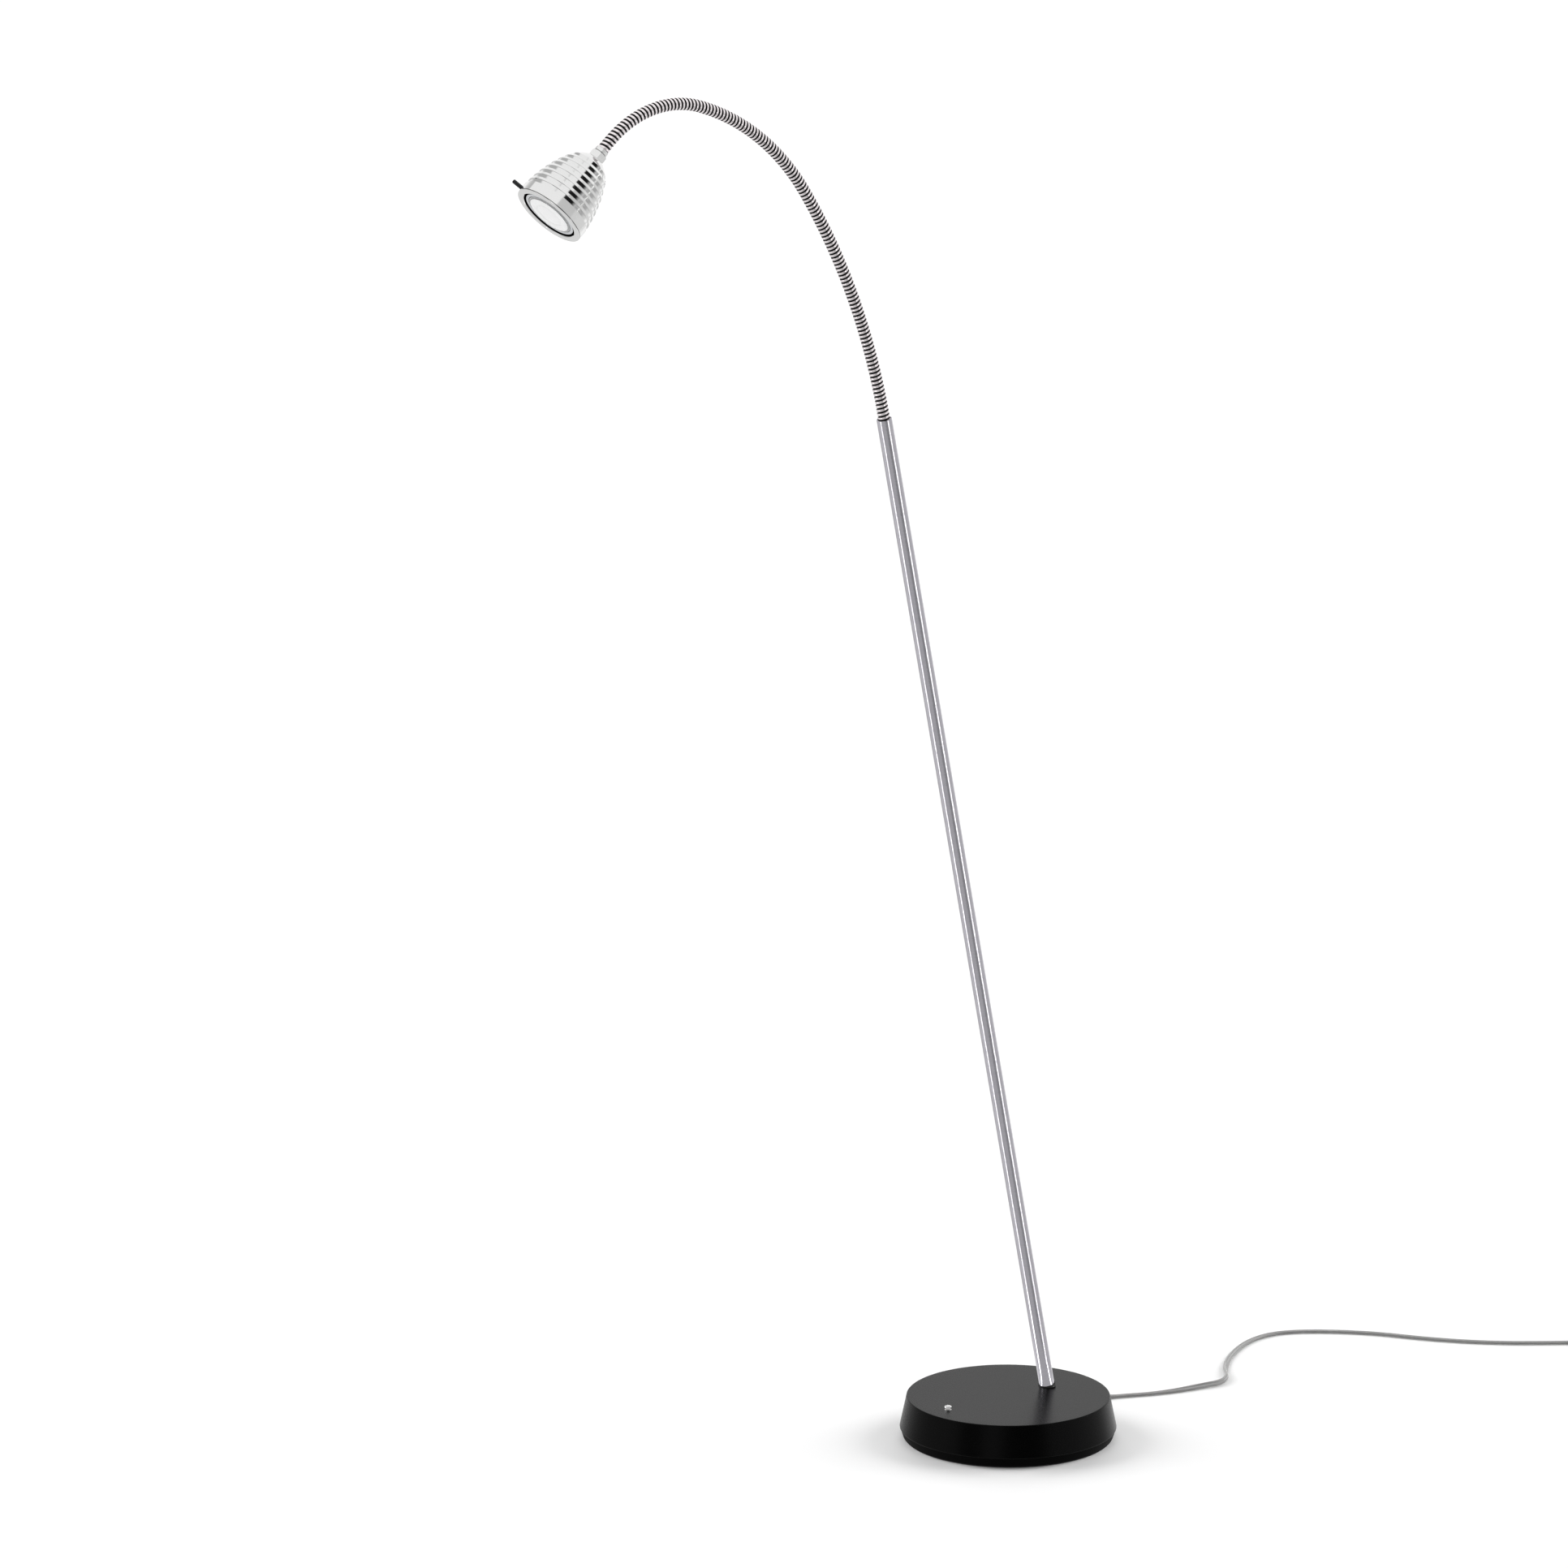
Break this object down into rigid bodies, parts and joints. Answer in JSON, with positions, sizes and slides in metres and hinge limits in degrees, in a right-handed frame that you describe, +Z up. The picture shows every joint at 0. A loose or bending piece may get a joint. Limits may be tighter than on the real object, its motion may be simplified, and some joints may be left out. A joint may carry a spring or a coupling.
{
  "type": "gooseneck reading floor lamp",
  "caption": "Reading floor lamp: a round weighted base, a leaning tube, a gooseneck that bends both ways and a swivelling finned head for a reflector lamp.",
  "frame": {"origin": "centre of the felt underside that the base stands on", "axes": "+Z up; the tube leans and the head looks towards -Y; X = 0 is the lamp's plane of symmetry; the cord leaves at the back, towards +Y"},
  "size_m": [0.3679, 1.2342, 1.2953],
  "materials": {
    "felt": "matte",
    "black_paint": "satin",
    "iron": "matte",
    "steel": "satin",
    "winding": "satin",
    "black_rubber": "matte",
    "cable": "matte",
    "black_plastic": "matte",
    "nickel": "polished",
    "tube": "polished",
    "gooseneck": "satin",
    "turned_steel": "satin",
    "aluminium": "satin",
    "black_steel": "matte",
    "ceramic": "matte",
    "reflector": "polished",
    "frosted_glass": "satin",
    "capsule": "gloss",
    "clear_cord": "gloss",
    "plug": "gloss",
    "brass_pins": "polished"
  },
  "bodies": {
    "base": {"base_felt": "felt", "base_tray": "black_paint", "base_cover": "black_paint", "base_weight": "iron", "base_screws": "steel", "transformer": "winding", "transformer_clamp": "steel", "transformer_bolt": "steel", "cord_gland": "black_rubber", "base_lead": "cable", "switch_bush": "nickel", "switch_body": "black_plastic", "switch_spring": "steel", "pole_seat": "black_plastic", "pole_stud": "steel", "pole_washer": "steel", "pole_nut": "steel", "pole_insert": "steel", "pole_tube": "tube", "neck_bush": "steel", "pole_cable": "cable", "neck_0": "gooseneck", "neck_cable": "cable", "cord_lead": "clear_cord", "cord_coil": "clear_cord", "cord_tail": "clear_cord", "plug_body": "plug", "plug_pins": "brass_pins"},
    "switch": {"switch_button": "nickel"},
    "neck_1": {"neck_1": "gooseneck"},
    "neck_2": {"neck_2": "gooseneck"},
    "neck_3": {"neck_3": "gooseneck"},
    "neck_4": {"neck_4": "gooseneck"},
    "neck_5": {"neck_5": "gooseneck"},
    "neck_6": {"neck_6": "gooseneck"},
    "neck_7": {"neck_7": "gooseneck"},
    "neck_8": {"neck_8": "gooseneck"},
    "neck_9": {"neck_9": "gooseneck"},
    "neck_10": {"neck_10": "gooseneck"},
    "neck_11": {"neck_11": "gooseneck"},
    "neck_tip": {"neck_12": "gooseneck", "swivel_spindle": "turned_steel", "swivel_washer": "steel", "swivel_retainer": "steel"},
    "head": {"swivel_nut": "aluminium", "head_housing": "aluminium", "front_ring": "aluminium", "handle_rod": "aluminium", "lamp_bracket": "steel", "bracket_grub": "black_steel", "lamp_holder": "ceramic", "head_lead": "cable", "lamp_reflector": "reflector", "lamp_lens": "frosted_glass", "lamp_capsule": "capsule", "lamp_base": "ceramic", "lamp_pins": "steel"}
  },
  "joints": [
    {"name": "side_1", "type": "hinge", "parent": "base", "child": "neck_1", "pos_m": [0, -0.16029, 1.02331], "axis": [0, 0.9612, 0.2759], "range_deg": [-18, 18], "deforming": ["neck_cable"]},
    {"name": "bend_1", "type": "hinge", "parent": "neck_1", "child": "neck_2", "pos_m": [0, -0.1746, 1.06699], "axis": [1, 0, 0], "range_deg": [-18, 9], "deforming": ["neck_cable"]},
    {"name": "side_2", "type": "hinge", "parent": "neck_2", "child": "neck_3", "pos_m": [0, -0.18951, 1.10372], "axis": [0, 0.9141, 0.4055], "range_deg": [-18, 18], "deforming": ["neck_cable"]},
    {"name": "bend_2", "type": "hinge", "parent": "neck_3", "child": "neck_4", "pos_m": [0, -0.20674, 1.13943], "axis": [1, 0, 0], "range_deg": [-18, 9], "deforming": ["neck_cable"]},
    {"name": "side_3", "type": "hinge", "parent": "neck_4", "child": "neck_5", "pos_m": [0, -0.22621, 1.17396], "axis": [0, 0.8549, 0.5188], "range_deg": [-18, 18], "deforming": ["neck_cable"]},
    {"name": "bend_3", "type": "hinge", "parent": "neck_5", "child": "neck_6", "pos_m": [0, -0.24809, 1.207], "axis": [1, 0, 0], "range_deg": [-18, 9], "deforming": ["neck_cable"]},
    {"name": "side_4", "type": "hinge", "parent": "neck_6", "child": "neck_7", "pos_m": [0, -0.29599, 1.25368], "axis": [0, 0.5845, 0.8114], "range_deg": [-18, 18], "deforming": ["neck_cable"]},
    {"name": "bend_4", "type": "hinge", "parent": "neck_7", "child": "neck_8", "pos_m": [0, -0.32458, 1.27121], "axis": [1, 0, 0], "range_deg": [-18, 9], "deforming": ["neck_cable"]},
    {"name": "side_5", "type": "hinge", "parent": "neck_8", "child": "neck_9", "pos_m": [0, -0.35544, 1.28433], "axis": [0, 0.3219, 0.9468], "range_deg": [-18, 18], "deforming": ["neck_cable"]},
    {"name": "bend_5", "type": "hinge", "parent": "neck_9", "child": "neck_10", "pos_m": [0, -0.38498, 1.28971], "axis": [1, 0, 0], "range_deg": [-18, 9], "deforming": ["neck_cable"]},
    {"name": "side_6", "type": "hinge", "parent": "neck_10", "child": "neck_11", "pos_m": [0, -0.41469, 1.28622], "axis": [0, -0.262, 0.9651], "range_deg": [-18, 18], "deforming": ["neck_cable"]},
    {"name": "bend_6", "type": "hinge", "parent": "neck_11", "child": "neck_tip", "pos_m": [0, -0.44209, 1.2742], "axis": [1, 0, 0], "range_deg": [-18, 9], "deforming": ["neck_cable"]},
    {"name": "head_swivel", "type": "hinge", "parent": "neck_tip", "child": "head", "pos_m": [0, -0.4625, 1.25813], "axis": [0, -0.7585, -0.6517], "range_deg": [-170, 170]},
    {"name": "switch_press", "type": "slide", "parent": "base", "child": "switch", "axis": [0, 0, -1], "range_m": [0, 0.0016], "stiffness_N_per_m": 900, "springref_m": -0.001, "deforming": ["switch_spring"]}
  ],
  "couplings": [
    {"joint": "side_2", "follows": "side_1", "ratio": 1},
    {"joint": "bend_2", "follows": "bend_1", "ratio": 1},
    {"joint": "side_3", "follows": "side_1", "ratio": 1},
    {"joint": "bend_3", "follows": "bend_1", "ratio": 1},
    {"joint": "side_4", "follows": "side_1", "ratio": 1},
    {"joint": "bend_4", "follows": "bend_1", "ratio": 1},
    {"joint": "side_5", "follows": "side_1", "ratio": 1},
    {"joint": "bend_5", "follows": "bend_1", "ratio": 1},
    {"joint": "side_6", "follows": "side_1", "ratio": 1},
    {"joint": "bend_6", "follows": "bend_1", "ratio": 1}
  ]
}
